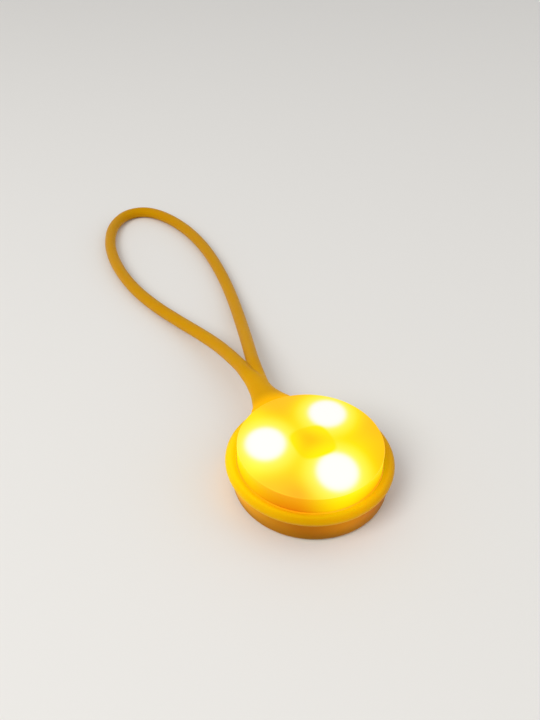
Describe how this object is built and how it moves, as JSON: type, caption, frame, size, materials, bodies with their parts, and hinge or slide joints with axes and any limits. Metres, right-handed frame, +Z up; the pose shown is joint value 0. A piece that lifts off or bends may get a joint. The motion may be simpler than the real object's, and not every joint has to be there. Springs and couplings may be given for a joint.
{
  "type": "bike warning light",
  "caption": "Round bike warning light: domed push-on lens in a yellow silicone sleeve whose neck runs into a looped strap, with a coin-turn battery door underneath.",
  "frame": {"origin": "centre of the round lamp on the underside of its sleeve, where it rests", "axes": "+Z up through the lens, +Y along the neck towards the strap, +X to the right seen from above with the strap pointing away"},
  "size_m": [0.045, 0.189, 0.0164],
  "materials": {
    "silicone": "satin, slightly translucent yellow silicone",
    "lens": "frosted translucent yellow, lit from inside",
    "shell_plastic": "moulded satin",
    "door_plastic": "fine moulded texture",
    "seal_rubber": "matte",
    "pad_foam": "matte foam",
    "cell_steel": "polished can",
    "spring_steel": "bright strip",
    "board": "white solder mask",
    "lamp_resin": "clear resin, lit",
    "tinned_metal": "tinned",
    "switch_plastic": "moulded",
    "chip_plastic": "moulded epoxy",
    "resistor_ceramic": "matte film"
  },
  "bodies": {
    "housing": {"sleeve": "silicone", "strap_loop": "silicone", "lens_seal": "seal_rubber", "base_shell": "shell_plastic", "cell_lower": "cell_steel", "cell_upper": "cell_steel", "negative_spring": "spring_steel", "positive_clip": "spring_steel", "circuit_board": "board", "led_1": "lamp_resin", "led_2": "lamp_resin", "led_3": "lamp_resin", "led_leads": "tinned_metal", "solder_joints": "tinned_metal", "pcb_screws": "spring_steel", "switch_body": "switch_plastic", "switch_frame": "spring_steel", "switch_legs": "tinned_metal", "driver_chip": "chip_plastic", "chip_legs": "tinned_metal", "resistors": "resistor_ceramic", "resistor_ends": "tinned_metal"},
    "lens": {"lens_cover": "lens"},
    "stem": {"switch_stem": "switch_plastic"},
    "door": {"battery_door": "door_plastic", "door_seal": "seal_rubber", "door_pad": "pad_foam"}
  },
  "joints": [
    {"name": "lens_press", "type": "slide", "parent": "housing", "child": "lens", "axis": [0, 0, -1], "range_m": [0, 0.0003], "stiffness_N_per_m": 4000, "springref_m": -0.0001},
    {"name": "stem_press", "type": "slide", "parent": "housing", "child": "stem", "axis": [0, 0, -1], "range_m": [0, 0.0003]},
    {"name": "battery_door_turn", "type": "hinge", "parent": "housing", "child": "door", "pos_m": [0, 0, 0], "axis": [0, 0, -1], "range_deg": [0, 35]}
  ],
  "couplings": [
    {"joint": "stem_press", "follows": "lens_press", "ratio": 1}
  ]
}
